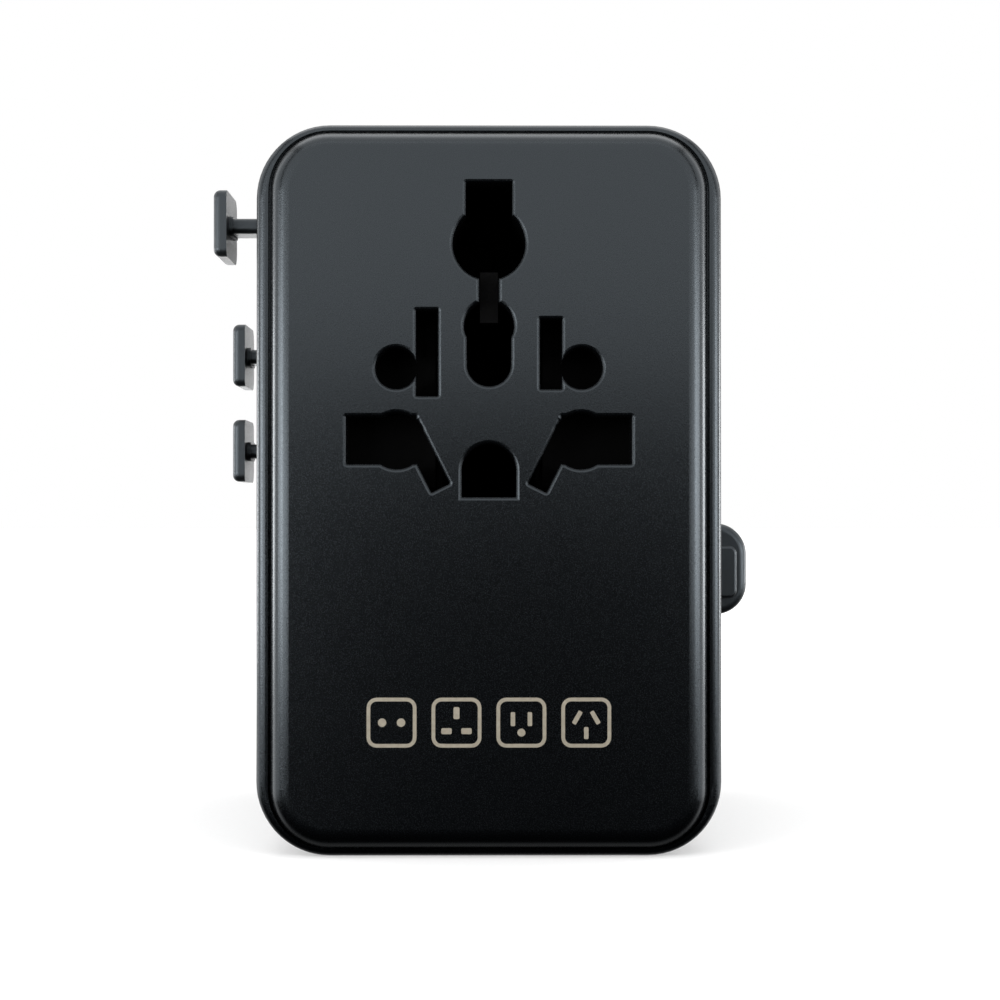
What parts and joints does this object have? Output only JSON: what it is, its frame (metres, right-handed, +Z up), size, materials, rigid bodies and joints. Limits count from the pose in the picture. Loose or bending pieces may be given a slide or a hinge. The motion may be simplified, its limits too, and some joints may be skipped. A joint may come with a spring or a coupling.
{
  "type": "universal travel adapter",
  "caption": "Pocket travel adapter: multi-standard socket face, sliding plug-pin sets worked by side knobs, turning flat blades, charging ports and a release button.",
  "frame": {"origin": "centre of the flat bottom end, midway between the socket face and the plug face", "axes": "+X to the right as seen from the socket face, +Y from the socket face towards the plug side, +Z up along the face"},
  "size_m": [0.0574, 0.06, 0.0754],
  "materials": {
    "body_plastic": "fine spark-eroded texture, charcoal",
    "knob_plastic": "fine matt, charcoal",
    "inner_plastic": "matt, black",
    "pin_plastic": "satin, black",
    "sleeve_plastic": "satin, black",
    "port_plastic": "matt, black",
    "nickel_plate": "bright nickel plate on brass",
    "brass_sheet": "stamped sheet",
    "spring_steel": "drawn wire",
    "dark_steel": "black zinc",
    "port_steel": "drawn sheet",
    "fuse_ceramic": "glazed white",
    "circuit_board": "solder mask, green",
    "ferrite": "sintered",
    "winding_tape": "polyester tape, yellow",
    "capacitor_can": "sleeved aluminium can",
    "insulator_film": "fibre sheet"
  },
  "bodies": {
    "housing": {"face_plate": "body_plastic", "main_shell": "body_plastic", "rear_cover": "body_plastic", "cover_screws": "dark_steel", "socket_block": "inner_plastic", "live_contact": "brass_sheet", "neutral_contact": "brass_sheet", "live_bus_bar": "brass_sheet", "neutral_bus_bar": "brass_sheet", "shutter_pins": "spring_steel", "shutter_springs": "spring_steel", "button_spring": "spring_steel", "fuse_body": "fuse_ceramic", "fuse_caps": "nickel_plate", "fuse_clips": "brass_sheet", "charger_board": "circuit_board", "transformer_core": "ferrite", "transformer_winding": "winding_tape", "capacitors": "capacitor_can", "insulator_sheet": "insulator_film", "usb_a_shells": "port_steel", "usb_a_tongues": "port_plastic", "usb_c_shells": "port_steel", "usb_c_tongues": "port_plastic"},
    "uk_set": {"uk_carriage": "inner_plastic", "uk_live_pin": "nickel_plate", "uk_neutral_pin": "nickel_plate", "uk_earth_pin": "pin_plastic", "uk_pin_sleeves": "sleeve_plastic", "uk_knob": "knob_plastic"},
    "eu_set": {"eu_carriage": "inner_plastic", "eu_live_pin": "nickel_plate", "eu_neutral_pin": "nickel_plate", "eu_pin_sleeves": "sleeve_plastic", "eu_knob": "knob_plastic"},
    "us_set": {"us_carriage": "inner_plastic", "us_knob": "knob_plastic"},
    "right_blade": {"blade_right": "nickel_plate", "blade_hub_right": "sleeve_plastic"},
    "left_blade": {"blade_left": "nickel_plate", "blade_hub_left": "sleeve_plastic"},
    "button": {"release_button": "knob_plastic", "lock_bar": "inner_plastic"},
    "right_shutter": {"shutter_right": "inner_plastic"},
    "left_shutter": {"shutter_left": "inner_plastic"}
  },
  "joints": [
    {"name": "uk_slide", "type": "slide", "parent": "housing", "child": "uk_set", "axis": [0, 1, 0], "range_m": [0, 0.023]},
    {"name": "eu_slide", "type": "slide", "parent": "housing", "child": "eu_set", "axis": [0, 1, 0], "range_m": [0, 0.0193]},
    {"name": "us_slide", "type": "slide", "parent": "housing", "child": "us_set", "axis": [0, 1, 0], "range_m": [0, 0.0173]},
    {"name": "right_blade_turn", "type": "hinge", "parent": "us_set", "child": "right_blade", "pos_m": [0.00635, 0.01, 0.0494], "axis": [0, 1, 0], "range_deg": [0, 30]},
    {"name": "left_blade_turn", "type": "hinge", "parent": "us_set", "child": "left_blade", "pos_m": [-0.00635, 0.01, 0.0494], "axis": [0, -1, 0], "range_deg": [0, 30]},
    {"name": "button_press", "type": "slide", "parent": "housing", "child": "button", "axis": [-1, 0, 0], "range_m": [0, 0.0015], "stiffness_N_per_m": 600, "springref_m": -0.002, "deforming": ["button_spring"]},
    {"name": "right_shutter_swing", "type": "hinge", "parent": "housing", "child": "right_shutter", "pos_m": [0.0154, -0.0231, 0.047], "axis": [0, 0, -1], "range_deg": [0, 88], "stiffness_Nm_per_rad": 0.0015, "springref_deg": -28.65},
    {"name": "left_shutter_swing", "type": "hinge", "parent": "housing", "child": "left_shutter", "pos_m": [-0.0154, -0.0231, 0.047], "axis": [0, 0, 1], "range_deg": [0, 88], "stiffness_Nm_per_rad": 0.0015, "springref_deg": -28.65}
  ]
}
